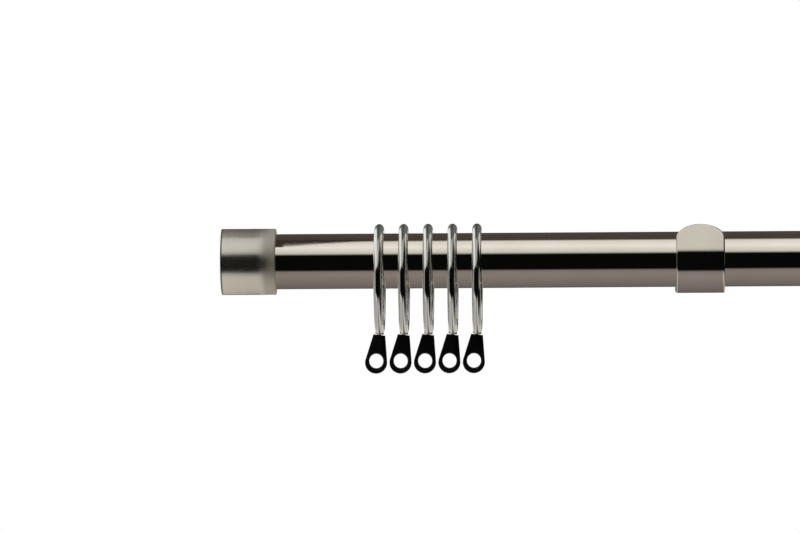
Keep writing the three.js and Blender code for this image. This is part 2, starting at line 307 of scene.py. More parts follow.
def bright_nickel(name, tint, dull, grain, base_roughness, painted_shade_sides=False):
    """Polished plating with fine polishing lines, faint haze and paler worn edges.

    The last flag paints shade into the colour of the faces that point along X.
    """
    finish = Finish(name)
    lines = finish.noise(900, 4, grain)
    haze = finish.noise(38, 3)
    colour = finish.blend(finish.ranged(haze, 0.35, 0.7, 0.0, 1.0), tint, dull)
    worn = finish.edges()
    bare = rgba(*(min(1.0, c * 1.08) for c in tint[:3]))
    rough = finish.math("ADD", finish.ranged(lines, 0.3, 0.7, base_roughness, base_roughness + 0.02),
                        finish.ranged(haze, 0.5, 0.8, 0.0, 0.04))
    colour = finish.blend(worn, colour, bare)
    # Painted shade: faces that point along X are darkened towards a dark brown, in place of the dark they
    # reflect.
    if painted_shade_sides:
        normal = finish.nodes.new("ShaderNodeNewGeometry").outputs["Normal"]
        facing = finish.node("ShaderNodeSeparateXYZ", {"Vector": normal})
        side_shade_mask = finish.ranged(finish.math("ABSOLUTE", facing.outputs["X"]), 0.25, 0.65, 0.0, 1.0)
        colour = finish.blend(side_shade_mask, colour, rgba(0.27, 0.25, 0.22))
    finish.set(Base_Color=colour, Metallic=1.0,
               Roughness=finish.math("ADD", rough, finish.math("MULTIPLY", worn, 0.08)))
    finish.bump((lines, 0.25e-6))
    return finish.material


POLE_NICKEL = bright_nickel(
    "pole_nickel", rgba(0.80, 0.755, 0.69), rgba(0.76, 0.71, 0.64), (0.02, 1, 1), 0.028)
# The strap's sides get painted shade.
STRAP_NICKEL = bright_nickel(
    "strap_nickel", rgba(0.82, 0.775, 0.71), rgba(0.77, 0.72, 0.655), (1, 0.25, 0.25), 0.04, painted_shade_sides=True)
RING_NICKEL = bright_nickel(
    "ring_nickel", rgba(0.67, 0.665, 0.65), rgba(0.62, 0.615, 0.60), (1, 0.2, 0.2), 0.08)


def satin_nickel():
    """Turned satin plating: fine grooves round the axis blur the shine lengthwise, more so by the rim. A dark
    band round the outer edge of the closed end is painted shade.
    """
    finish = Finish("cap_satin")
    axes = finish.node("ShaderNodeSeparateXYZ", {"Vector": finish.place})
    along = finish.math("SUBTRACT", finish.math("ABSOLUTE", axes.outputs["X"]), CAP_RIM)
    from_rim = finish.node("ShaderNodeMapRange", {
        "Value": along, "From Min": 0.0, "From Max": 0.36 * CAP_LENGTH}, interpolation_type="SMOOTHSTEP")
    grooves = finish.noise(5200, 3, (1, 0.02, 0.02))
    mottle = finish.noise(120, 4)
    colour = finish.blend(mottle, rgba(0.92, 0.87, 0.79), rgba(0.86, 0.81, 0.73))
    from_axis = finish.node("ShaderNodeVectorMath", {0: finish.place, 1: POLE_AXIS}, operation="SUBTRACT")
    outward = finish.node("ShaderNodeVectorMath", {
        0: from_axis.outputs[0], 1: (0, 1, 1)}, operation="MULTIPLY")
    radius = finish.node("ShaderNodeVectorMath", {0: outward.outputs[0]}, operation="LENGTH").outputs["Value"]
    # Painted shade: a dark band round the outer edge of the closed end, where a groove's shade would fall.
    by_end = finish.ranged(along, CAP_LENGTH - 1.1 * MM, CAP_LENGTH - 0.5 * MM, 0.0, 1.0)
    by_edge = finish.ranged(radius, CAP_R - 1.2 * MM, CAP_R - 0.5 * MM, 0.0, 1.0)
    painted_rim_shade = finish.math("MULTIPLY", by_end, by_edge)
    rough = finish.math("ADD", finish.ranged(from_rim.outputs["Result"], 0.0, 1.0, 1.0, 0.30),
                        finish.ranged(grooves, 0.3, 0.7, -0.03, 0.04))
    tangent = finish.node("ShaderNodeTangent", direction_type="RADIAL", axis="X")
    finish.set(Base_Color=finish.blend(painted_rim_shade, colour, rgba(0.13, 0.12, 0.10)), Metallic=1.0, Roughness=rough,
               Anisotropic=0.9, Anisotropic_Rotation=0.25, Tangent=tangent.outputs["Tangent"])
    finish.bump((grooves, 1.0e-6), (mottle, 0.8e-6))
    return finish.material


CAP_SATIN = satin_nickel()


def moulded(name, colour, dark, roughness, pebble):
    """Moulded plastic: slight flow marks, a fine pebble and scuffed edges."""
    finish = Finish(name)
    flow = finish.noise(160, 3, (1, 1, 0.4))
    grain = finish.noise(pebble, 2)
    worn = finish.edges(0.53, 0.66)
    scuffed = rgba(*(min(1.0, c * 1.5 + 0.02) for c in colour[:3]))
    finish.set(Base_Color=finish.blend(worn, finish.blend(flow, colour, dark), scuffed),
               Roughness=finish.ranged(flow, 0.3, 0.7, roughness, roughness + 0.12))
    finish.bump((grain, 6e-6), (flow, 8e-6))
    return finish.material


BLACK_NYLON = moulded("eyelet_nylon", rgba(0.0025, 0.0025, 0.003), rgba(0.005, 0.005, 0.006), 0.34, 4200)
WHITE_NYLON = moulded("plug_nylon", rgba(0.72, 0.70, 0.66), rgba(0.66, 0.64, 0.58), 0.45, 2600)


def zinc_plate():
    """Bright zinc with a faint blue and straw bloom and a stamped grain."""
    finish = Finish("zinc_plate")
    bloom = finish.noise(260, 3)
    grain = finish.noise(3500, 3)
    blue, straw = rgba(0.60, 0.64, 0.70), rgba(0.70, 0.66, 0.54)
    colour = finish.blend(finish.ranged(bloom, 0.35, 0.65, 0.0, 1.0), blue, straw)
    worn = finish.edges()
    finish.set(Base_Color=finish.blend(worn, colour, rgba(0.78, 0.78, 0.78)), Metallic=1.0,
               Roughness=finish.ranged(grain, 0.3, 0.7, 0.26, 0.42))
    finish.bump((grain, 3e-6))
    return finish.material


ZINC = zinc_plate()


# ---------- putting a piece in the frame ----------

def show(piece, node, body, material):
    """The piece stands for that CAD node, moves with its body and wears the material."""
    piece.data.materials.clear()
    piece.data.materials.append(material)
    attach(piece, body)
    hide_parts(node)


# ---------- the pole and its end caps ----------

def pole_tube():
    chamfer = 0.25 * MM
    half = [(BORE_R, 0), (BORE_R, POLE_END), (POLE_R, POLE_END), (POLE_R, 0)]
    upper = fillet(half, chamfer, 3)
    lower = [(r, -z) for r, z in reversed(upper)]
    rings = [tuple(p) for p in upper[:-1]] + [tuple(p) for p in lower[:-1]]
    stations = []
    steps = 24
    for (r0, z0), (r1, z1) in zip(rings, rings[1:] + rings[:1]):
        count = steps if abs(z1 - z0) > POLE_END / 2 else 1
        stations += [(r0 + (r1 - r0) * i / count, z0 + (z1 - z0) * i / count) for i in range(count)]
    tube = turned("pole_tube", stations, 128, closed=True)
    moved(tube, Matrix.Translation(POLE_AXIS) @ turn_to_x(1))
    show(tube, "pole", "pole", POLE_NICKEL)


def cap_shell_profile():
    """(radius, distance from the open rim), from the axis inside to the axis outside."""
    turn = 0.45 * MM
    corners = [
        (0, CAP_SCREW_HOLE), (PLUG_HOLE_R, CAP_SCREW_HOLE), (PLUG_HOLE_R, CAP_BORE_DEPTH),
        (CAP_BORE_R, CAP_BORE_DEPTH), (CAP_BORE_R, 0), (CAP_R, 0), (CAP_R, CAP_LENGTH), (0, CAP_LENGTH),
    ]
    return fillet(corners, [0, 0, 0.1 * MM, turn, turn, turn, turn, 0], 4)


def cap_plug_profile():
    """(radius, distance from the open rim) of a hollow plug with grip rings round it."""
    end = CAP_BORE_DEPTH - GAP
    outer, well = BORE_R - GAP, 6 * MM
    corners = [
        (PLUG_HOLE_R, end), (PLUG_HOLE_R, PLUG_SEAT), (well, PLUG_SEAT), (well, -PLUG_REACH),
        (outer - PLUG_LEAD, -PLUG_REACH), (outer, PLUG_LEAD - PLUG_REACH),
    ]
    rib, groove, flank = 1.4 * MM, 0.5 * MM, 0.2 * MM
    along = 2.2 * MM - PLUG_REACH
    while along < end - 2 * rib:
        corners += [
            (outer, along), (outer - groove, along + flank), (outer - groove, along + rib - flank),
            (outer, along + rib),
        ]
        along += 2 * rib
    corners += [(outer, end)]
    return corners


def cross_drive(mouth, depth, span, width):
    """Two crossed tapered slots that open downwards, towards -Z."""
    cutters = []
    for angle in (0, math.pi / 2):
        loops = []
        for z, scale in ((mouth - OVERRUN, 1.0), (mouth + depth, 0.45)):
            x, y = span / 2 * scale, width / 2
            loops.append([(-x, -y, z), (x, -y, z), (x, y, z), (-x, y, z)])
        cutters.append(moved(lofted("drive", loops, closed=False), Matrix.Rotation(angle, 4, "Z")))
    return cutters


def helix_shank(name, low, high, core, crest, pitch, tip):
    """A threaded shank along +Z: a helical ridge on a core that narrows to its tip over the last stretch."""
    around, per_turn = 20, 8
    rows = int((high - low) / pitch * per_turn)
    loops = []
    for k in range(rows + 1):
        z = low + (high - low) * k / rows
        taper = min(1.0, (high - z) / tip + 0.06) if tip else 1.0
        loop = []
        for i in range(around):
            angle = TAU * i / around
            phase = (z / pitch - i / around) % 1.0
            ridge = max(0.0, 1 - abs(phase - 0.5) * 4)
            fade = min(1.0, (z - low) / pitch, (high - z) / pitch + 0.1)
            radius = (core + (crest - core) * ridge * max(0.0, fade)) * taper
            loop.append((radius * math.cos(angle), radius * math.sin(angle), z))
        loops.append(loop)
    return lofted(name, loops, sharp_angle=50, closed=False)


def cap_screw():
    """A pan head screw that stands on Z, head down, measured from the cap's rim."""
    seat, head_r, head_h = PLUG_SEAT - GAP, 3.8 * MM, 2.4 * MM
    crown, neck = seat - head_h, seat + 1.2 * MM
    head = turned("cap_screw", fillet(
        [(0, crown), (head_r, crown), (head_r, seat), (PLUG_SCREW_R, seat), (PLUG_SCREW_R, neck), (0, neck)],
        [0, 1.5 * MM, 0.15 * MM, 0.1 * MM, 0, 0], 5), 40)
    combine(head, cross_drive(crown, depth=1.4 * MM, span=4 * MM, width=0.9 * MM), "DIFFERENCE")
    start, point = neck - 0.3 * MM, CAP_SCREW_HOLE - 0.35 * MM
    shank = helix_shank("shank", start, point, core=1.5 * MM, crest=PLUG_SCREW_R, pitch=0.7 * MM, tip=0)
    return combine(head, [shank], "UNION")


def end_caps():
    shell = turned("cap_shell", cap_shell_profile(), 128)
    plug = turned("cap_grip_plug", cap_plug_profile(), 72, closed=True)
    screw = cap_screw()
    tidy_mesh(screw.data, SHARP)
    for name, side in SIDES:
        place = Matrix.Translation((side * CAP_RIM, POLE_AXIS.y, POLE_AXIS.z)) @ turn_to_x(side)
        body = f"cap_{name}"
        for piece, node, slot, material in (
            (shell, f"cap_{name}", "cap_metal", CAP_SATIN),
            (plug, f"cap_plug_{name}", "white_nylon", WHITE_NYLON),
            (screw, f"cap_screw_{name}", "zinc_steel", ZINC),
        ):
            show(copy_of(piece, f"{piece.name}_{name}", place), node, body, material)
    for piece in (shell, plug, screw):
        bpy.data.objects.remove(piece)


# ---------- the rings and their eyelets ----------

def wire_ring(side):
    """A ring about the X axis, centred on the origin. Its boss and hole lean with the eyelet."""
    around, section = 120, 28
    loops = []
    for k in range(around):
        angle = TAU * k / around
        out = Vector((0, math.cos(angle), math.sin(angle)))
        loops.append([
            tuple(out * (RING_R + RING_WIRE_R * math.cos(t)) + Vector((RING_WIRE_R * math.sin(t), 0, 0)))
            for t in (TAU * i / section for i in range(section))
        ])
    ring = lofted("ring_wire", loops)
    hole, mouth, reach = 1.6 * MM, 1.95 * MM, RING_WIRE_R
    lip, throat = reach - 0.1 * MM, reach - 0.5 * MM  # where each countersink starts and ends
    drill = turned("drill", [
        (0, -reach - OVERRUN), (mouth, -reach - OVERRUN), (mouth, -lip), (hole, -throat),
        (hole, throat), (mouth, lip), (mouth, reach + OVERRUN), (0, reach + OVERRUN),
    ], 32)
    corner, boss_r = 0.25 * MM, RING_WIRE_R - 0.01 * MM
    boss_profile = [(0, -reach), (boss_r, -reach), (boss_r, 0), (0, 0)]
    boss = turned("boss", fillet(boss_profile, [0, corner, 0, 0], 4), 48)
    for piece in (drill, boss):
        moved(piece, Matrix.Translation((0, 0, -RING_R)) @ Matrix.Rotation(-side * EYELET_LEAN, 4, "Y"))
    combine(ring, [boss], "UNION")
    return combine(ring, [drill], "DIFFERENCE")


EYELET_TOP = -RING_WIRE_R - GAP  # below the middle of the ring's wire
EYELET_HEIGHT = 19.75 * MM
EYELET_R = 5.6 * MM
EYELET_NECK = 3 * MM  # half the width at the top
EYE_DEPTH = 13.3 * MM
EYE_HALF = (3.55 * MM, 3.65 * MM)
EYELET_HALF_T = (1.75 * MM, 2.2 * MM)  # half the thickness at the foot and at the neck
STEM_R = 1 * MM
STEM_HEAD_R = 2.2 * MM
STEM_HEAD_H = 1.4 * MM
STEM_ROOT = 2 * MM  # how far the stem runs down into the loop


def drop_radius(angle):
    """Distance from the eye's centre to the drop's outline, along that angle in the XZ plane."""
    direction = Vector((math.cos(angle), math.sin(angle)))
    eye = Vector((0, EYELET_TOP - EYE_DEPTH))
    round_centre = Vector((0, EYELET_TOP - EYELET_HEIGHT + EYELET_R))
    neck = Vector((EYELET_NECK, EYELET_TOP))
    reach = neck - round_centre
    touch = math.atan2(reach.y, reach.x) - math.acos(EYELET_R / reach.length)
    tangent = Vector((math.cos(touch), math.sin(touch)))  # outward normal of the straight side
    offset = eye - round_centre
    along = offset.dot(direction)
    to_round = -along + math.sqrt(along ** 2 - offset.length_squared + EYELET_R ** 2)
    hit = offset + direction * to_round
    if math.atan2(hit.y, abs(hit.x)) <= touch:
        return to_round
    mirrored = Vector((abs(direction.x), direction.y))
    to_side = (EYELET_R - offset.dot(tangent)) / mirrored.dot(tangent)
    to_top = (EYELET_TOP - eye.y) / direction.y if direction.y > 1e-6 else math.inf
    return min(to_side, to_top)


def rounded_section(inner, outer, half, inner_round, outer_round, steps=4):
    """A closed section of (distance, thickness) points with rounded corners."""
    corners = (
        (inner, half, inner_round, 90), (inner, -half, inner_round, 180),
        (outer, -half, outer_round, 270), (outer, half, outer_round, 0),
    )
    section = []
    for r, y, size, start in corners:
        centre = (r + size if r == inner else r - size, y - math.copysign(size, y))
        for i in range(steps + 1):
            turn = math.radians(start + 90 * i / steps)
            section.append((centre[0] + size * math.cos(turn), centre[1] + size * math.sin(turn)))
    return section


def eyelet_moulding():
    """The drop-shaped loop with its stem and head, hanging from the middle of the wire at the origin."""
    corner = math.atan2(EYE_DEPTH, EYELET_NECK)
    angles = sorted([TAU * i / 88 + 1e-4 for i in range(88)] + [corner, math.pi - corner])
    loops = []
    for angle in angles:
        rise = (math.sin(angle) + 1) / 2
        half = EYELET_HALF_T[0] + (EYELET_HALF_T[1] - EYELET_HALF_T[0]) * rise
        inner = 1 / math.hypot(math.cos(angle) / EYE_HALF[0], math.sin(angle) / EYE_HALF[1])
        section = rounded_section(inner, drop_radius(angle), half, 0.85 * MM, 0.65 * MM)
        loops.append([
            (r * math.cos(angle), y, EYELET_TOP - EYE_DEPTH + r * math.sin(angle)) for r, y in section
        ])
    drop = lofted("eyelet_moulding", loops, sharp_angle=40)
    seat, root = RING_WIRE_R + GAP, EYELET_TOP - STEM_ROOT
    stem = turned("stem", fillet([
        (0, root), (STEM_R, root), (STEM_R, seat), (STEM_HEAD_R, seat),
        (STEM_HEAD_R - 0.5 * MM, seat + STEM_HEAD_H), (0, seat + STEM_HEAD_H),
    ], [0, 0, 0.15 * MM, 0.2 * MM, 0.5 * MM, 0], 4), 36)
    return combine(drop, [stem], "UNION")


def rings_and_eyelets():
    eyelet = eyelet_moulding()
    tidy_mesh(eyelet.data, 40)
    for name, side in SIDES:
        ring = wire_ring(side)
        tidy_mesh(ring.data, SHARP)
        for number in range(1, RINGS_PER_SIDE + 1):
            node = f"ring_{name}_{number}"
            inner_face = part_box(node)[0 if side > 0 else 1].x
            centre = Vector((inner_face + side * RING_WIRE_R, POLE_AXIS.y, RING_Z))
            wire_loop = copy_of(ring, f"ring_wire_{name}_{number}", Matrix.Translation(centre))
            show(wire_loop, node, node, RING_NICKEL)
            wire = centre - Vector((0, 0, RING_R))
            hang = Matrix.Translation(wire) @ Matrix.Rotation(-side * EYELET_LEAN, 4, "Y")
            drop = copy_of(eyelet, f"eyelet_moulding_{name}_{number}", hang)
            show(drop, f"eyelet_{name}_{number}", f"eyelet_{name}_{number}", BLACK_NYLON)
            drop.visible_glossy = False  # keeps a dashed dark line off the underside of the pole
        bpy.data.objects.remove(ring)
    bpy.data.objects.remove(eyelet)


# ---------- the brackets ----------

class StrapPath:
    """The strap's centre line, from the top of the wall flange to the tongue's tip."""

    def __init__(self):
        wall = FLANGE_BACK + STRAP_T / 2  # centre line's distance from the wall on the flange
        bend_y, bend_z = -(wall + BEND_MID_R), POLE_AXIS.z - STRAP_MID_R + BEND_MID_R
        flange_top = POLE_AXIS.z + FLANGE_TOP
        self.pieces = [
            ("line", flange_top - bend_z, Vector((-wall, flange_top)), Vector((0, -1))),
            ("arc", BEND_MID_R, Vector((bend_y, bend_z)), 0.0, -math.pi / 2),
            ("line", bend_y - POLE_AXIS.y, Vector((bend_y, POLE_AXIS.z - STRAP_MID_R)), Vector((-1, 0))),
            ("arc", STRAP_MID_R, Vector((POLE_AXIS.y, POLE_AXIS.z)), -math.pi / 2, -math.pi - TONGUE_LEAN),
        ]
        lift = math.pi - TONGUE_LEAN
        start = POLE_AXIS.yz + Vector((math.cos(lift), math.sin(lift))) * STRAP_MID_R
        top = TONGUE_TOP - STRAP_T / 2 * math.sin(TONGUE_LEAN)
        rise = (top - start.y) / math.cos(TONGUE_LEAN)
        up_tongue = Vector((math.sin(TONGUE_LEAN), math.cos(TONGUE_LEAN)))
        self.pieces.append(("line", rise, start, up_tongue))
        self.lengths = [p[1] * abs(p[4] - p[3]) if p[0] == "arc" else p[1] for p in self.pieces]
        self.total = sum(self.lengths)

    def at(self, length):
        """(place, outward normal) in the YZ plane. Outward is away from the pole, or towards the wall."""
        for piece, size in zip(self.pieces, self.lengths):
            if length <= size or piece is self.pieces[-1]:
                break
            length -= size
        if piece[0] == "line":
            heading = piece[3]
            return piece[2] + heading * length, Vector((-heading.y, heading.x))
        angle = piece[3] + (piece[4] - piece[3]) * length / size
        out = Vector((math.cos(angle), math.sin(angle)))
        return piece[2] + out * piece[1], out

    def stations(self):
        """Lengths to sample, closer together round the bends, and not past the tongue's shoulder."""
        out, start = [], 0.0
        for piece, size in zip(self.pieces, self.lengths):
            count = 10
            if piece[0] == "arc":
                count = max(6, int(abs(piece[4] - piece[3]) / math.radians(2.5)))
            out += [start + size * i / count for i in range(count)]
            start += size
        return out


def strap():
    """The bent bar: a flat blank with rounded edges and a half-elliptic tip, laid along the path."""
    path = StrapPath()
    half = STRAP_WIDTH / 2
    round_up = TONGUE_ROUND / math.cos(TONGUE_LEAN)
    shoulder = path.total - round_up
    straight = [s for s in path.stations() if s < shoulder - 0.2 * MM]
    edge, edge_steps = 0.6 * MM, 6
    tip_steps, columns = 26, 16

    def outline(inset):
        """(length, half width) down one side, pulled in by inset."""
        rows = [(max(s, inset), half - inset) for s in straight]
        for i in range(tip_steps + 1):
            turn = math.pi / 2 * i / tip_steps
            rows.append((shoulder + (round_up - inset) * math.sin(turn), (half - inset) * math.cos(turn)))
        return rows

    layers = []  # (inset, height off the centre line)
    for i in range(edge_steps + 1):
        turn = math.pi / 2 * i / edge_steps
        layers.append((edge * (1 - math.sin(turn)), STRAP_T / 2 - edge * (1 - math.cos(turn))))
    layers += [(inset, -height) for inset, height in reversed(layers)]
    verts, faces = [], []

    def add(length, x, height):
        place, out = path.at(length)
        spot = place + out * height
        verts.append((x, spot.x, spot.y))
        return len(verts) - 1

    rims = []  # for each layer, the outline as one closed loop of vertices
    for inset, height in layers:
        rows = outline(inset)
        loop = [add(s, w, height) for s, w in rows]
        loop += [add(s, -w, height) for s, w in reversed(rows[:-1])]
        rims.append(loop)
    count = len(rims[0])
    for low, high in zip(rims, rims[1:]):
        for i in range(count):
            j = (i + 1) % count
            faces.append((low[i], high[i], high[j], low[j]))
    for rim, (inset, height) in ((rims[0], layers[0]), (rims[-1], layers[-1])):
        rows = outline(inset)
        last = None
        for k, (s, w) in enumerate(rows):
            inner = [add(s, w * (1 - 2 * c / columns), height) for c in range(1, columns)]
            line = [rim[k]] + inner + [rim[-k - 1] if k < len(rows) - 1 else rim[k]]
            if last:
                for a, b, c, d in zip(last, last[1:], line[1:], line):
                    faces.append((a, b, c, d))
            last = line
    return new_piece("strap", verts, faces, 30)


def round_hole(name, radius, low, high):
    return turned(name, [(0, low), (radius, low), (radius, high), (0, high)], 40)


def wall_plate():
    """The plate in the XY plane, back at Z = 0 and front at its thickness, with countersunk holes."""
    size = extent("wall_plate_left")
    w, h, thick, corner, edge = size.x / 2, size.z / 2, size.y, 2 * MM, 0.4 * MM
    loops = []
    steps = 8

    def outline(inset, z):
        loop = []
        for cx, cy, start in ((w, h, 0), (-w, h, 90), (-w, -h, 180), (w, -h, 270)):
            mid_x, mid_y = math.copysign(abs(cx) - corner, cx), math.copysign(abs(cy) - corner, cy)
            for i in range(steps + 1):
                turn = math.radians(start + 90 * i / steps)
                reach = corner - inset
                loop.append((mid_x + reach * math.cos(turn), mid_y + reach * math.sin(turn), z))
        return loop

    for i in range(5):
        turn = math.pi / 2 * i / 4
        loops.append(outline(edge * (1 - math.sin(turn)), edge * (1 - math.cos(turn))))
    for i in range(5):
        turn = math.pi / 2 * i / 4
        loops.append(outline(edge * (1 - math.cos(turn)), thick - edge * (1 - math.sin(turn))))
    plate = lofted("wall_plate", loops, closed=False)
    cutters = [round_hole("tapped", BOLT_HOLE_R, 0.7 * MM, thick + OVERRUN)]
    narrow, wide = WALL_SCREW_R + GAP, WALL_SCREW_HEAD_R + GAP
    for y in (WALL_SCREW_PITCH / 2, -WALL_SCREW_PITCH / 2):
        sink = turned("sink", [
            (0, -OVERRUN), (narrow, -OVERRUN), (narrow, thick - COUNTERSINK_DEPTH),
            (wide, thick - COUNTERSINK_LIP), (wide, thick + OVERRUN), (0, thick + OVERRUN),
        ], 40)
        cutters.append(moved(sink, Matrix.Translation((0, y, 0))))
    return combine(plate, cutters, "DIFFERENCE")


def wall_screw():
    """A countersunk wood screw on Z, head down at the plate's front, point up."""
    low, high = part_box("wall_screw_upper_left")[0].y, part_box("wall_screw_upper_left")[1].y
    plain = low + 9 * MM
    head = turned("wall_screw", fillet([
        (0, low), (WALL_SCREW_HEAD_R, low), (WALL_SCREW_HEAD_R, low + 0.25 * MM),
        (WALL_SCREW_R, low + 2.1 * MM), (WALL_SCREW_R, plain), (0, plain),
    ], [0, 0.1 * MM, 0.1 * MM, 0.4 * MM, 0, 0], 4), 40)
    combine(head, cross_drive(low, depth=1.3 * MM, span=3.6 * MM, width=0.9 * MM), "DIFFERENCE")
    shank = helix_shank("shank", plain - 0.4 * MM, high, core=1.15 * MM, crest=WALL_SCREW_R, pitch=1.6 * MM,
                        tip=5 * MM)
    return combine(head, [shank], "UNION")


def flange_bolt():
    """A button head bolt on Z, head down, in front of the flange."""
    crown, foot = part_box("flange_bolt_left")[0].y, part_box("flange_bolt_left")[1].y
    front = -(FLANGE_BACK + STRAP_T)
    seat, neck, head_r = front - GAP, front + 0.6 * MM, 4.5 * MM
    rim = 0.22  # share of the head's height that is a straight rim
    dome = []
    for degrees in range(18, 91, 9):
        turn = math.radians(degrees)
        dome.append((head_r * math.sin(turn), seat - (seat - crown) * (rim + (1 - rim) * math.cos(turn))))
    profile = [(0, crown)] + dome + [(head_r, seat), (BOLT_R, seat), (BOLT_R, neck), (0, neck)]
    bolt = turned("flange_bolt", profile, 48)
    combine(bolt, [prism("socket", 1.75 * MM, 6, crown - OVERRUN, crown + 1.7 * MM)], "DIFFERENCE")
    shank = helix_shank("shank", neck - 0.3 * MM, foot, core=2.1 * MM, crest=BOLT_R, pitch=0.8 * MM, tip=0)
    return combine(bolt, [shank], "UNION")


def lock_screw():
    """A grub screw on Z with its hexagon socket at the low end."""
    low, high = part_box("lock_screw_left")[0].z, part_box("lock_screw_left")[1].z
    radius = extent("lock_screw_left").x / 2
    screw = turned("lock_screw", fillet(
        [(0, low), (radius, low), (radius, high), (radius * 0.6, high), (0, high - 0.35 * MM)],
        [0, 0.3 * MM, 0.5 * MM, 0.1 * MM, 0], 4), 40)
    return combine(screw, [prism("socket", 1.15 * MM, 6, low - OVERRUN, low + 1.4 * MM)], "DIFFERENCE")


def brackets():
    bar, plate, bolt, screw, lock = strap(), wall_plate(), flange_bolt(), wall_screw(), lock_screw()
    plate_z = middle("wall_plate_left").z
    bolt_hole = round_hole("bolt_hole", BOLT_HOLE_R, -FLANGE_BACK - 4 * MM, -FLANGE_BACK + OVERRUN)
    moved(bolt_hole, Matrix.Translation((0, 0, plate_z)) @ TURN_TO_Y)
    strap_foot = -STRAP_OUTER_R
    lock_hole = round_hole("lock_hole", LOCK_HOLE_R, strap_foot - OVERRUN, strap_foot + STRAP_T + OVERRUN)
    moved(lock_hole, Matrix.Translation((0, POLE_AXIS.y, POLE_AXIS.z)))
    combine(bar, [bolt_hole, lock_hole], "DIFFERENCE")
    for piece in (bar, plate, bolt, screw, lock):
        tidy_mesh(piece.data, SHARP)
    lay_plate = Matrix.Rotation(math.pi / 2, 4, "X")  # the plate's front faces -Y
    screw_heights = {place: middle(f"wall_screw_{place}_left").z for place in ("upper", "lower")}
    for name, side in SIDES:
        x = middle(f"bracket_strap_{name}").x
        shift = Matrix.Translation((x, 0, 0))
        level = Matrix.Translation((x, 0, plate_z))
        under = Matrix.Translation((x, POLE_AXIS.y, 0))
        parts = [
            (bar, f"bracket_strap_{name}", "bracket_metal", STRAP_NICKEL, shift),
            (plate, f"wall_plate_{name}", "zinc_steel", ZINC, level @ lay_plate),
            (bolt, f"flange_bolt_{name}", "zinc_steel", ZINC, level @ TURN_TO_Y),
            (lock, f"lock_screw_{name}", "zinc_steel", ZINC, under),
        ]
        for place, z in screw_heights.items():
            matrix = Matrix.Translation((x, 0, z)) @ TURN_TO_Y
            parts.append((screw, f"wall_screw_{place}_{name}", "zinc_steel", ZINC, matrix))
        for piece, node, slot, material, matrix in parts:
            show(copy_of(piece, f"{node}_fine", matrix), node, "wall_brackets", material)
    for piece in (bar, plate, bolt, screw, lock):
        bpy.data.objects.remove(piece)


pole_tube()
end_caps()
rings_and_eyelets()
brackets()


# ---------- floor, light and camera ----------

# The studio's light levels, linear, with a slightly warm cast.
CEILING_DIM = (0.07, 0.06, 0.045)
SOFTBOX_EDGE = (0.70, 0.70, 0.64)
SOFTBOX = (1.00, 1.00, 0.98)
SOFTBOX_FAR = (0.84, 0.82, 0.77)
CAMERA_GAP = (0.003, 0.003, 0.003)
GROUND_NEAR = (0.28, 0.25, 0.24)
GROUND = (0.25, 0.22, 0.21)
GROUND_FAR = (0.17, 0.15, 0.15)
WALL_DIM = (0.09, 0.07, 0.07)

# What the studio holds at each angle round the X axis: 0 is level in front, 90 overhead, 180 level behind.
STUDIO = [
    (-180, WALL_DIM), (-140, GROUND_FAR), (-85, GROUND), (-60, GROUND_NEAR), (-45, GROUND),
    (-37.5, CAMERA_GAP), (25, CAMERA_GAP), (34, SOFTBOX_EDGE), (60, SOFTBOX), (87, SOFTBOX_FAR),
    (95, CEILING_DIM), (180, WALL_DIM),
]

# What it holds to either side, seen only in slanting reflections.
PALE_BOUNCE = (0.70, 0.68, 0.62, 1)  # the lit ground either side of the camera
BESIDE_LOW = (0.20, 0.19, 0.17, 1)  # the overhead softbox falls off to both sides
BESIDE_HIGH = (0.36, 0.35, 0.31, 1)
CEILING = (0.17, 0.17, 0.165, 1)
DIM_END = (0.042, 0.033, 0.028, 1)  # past the left end of the overhead softbox
LEFT_PANEL = (1.08, 1.09, 1.07, 1)
LEFT_LOW = (0.55, 0.555, 0.54, 1)
LEFT_EDGE = (0.45, 0.45, 0.43, 1)
RIGHT_DARK = (0.008, 0.008, 0.008, 1)
REAR_HIGH = (0.80, 0.78, 0.74, 1)  # two panels behind and to the right, with a gap level with the pole
REAR_LOW = (0.42, 0.41, 0.39, 1)
END_PANEL = (0.62, 0.61, 0.58, 1)  # straight off the right end
SOFTBOX_END = -0.0505  # the softbox's left end, as a direction's X part, 71 degrees round X
SOFTBOX_END_SLANT = 0.0271  # how far that end moves right for each radian above it
CAMERA_SEES = (1.0, 1.0, 1.0, 1)


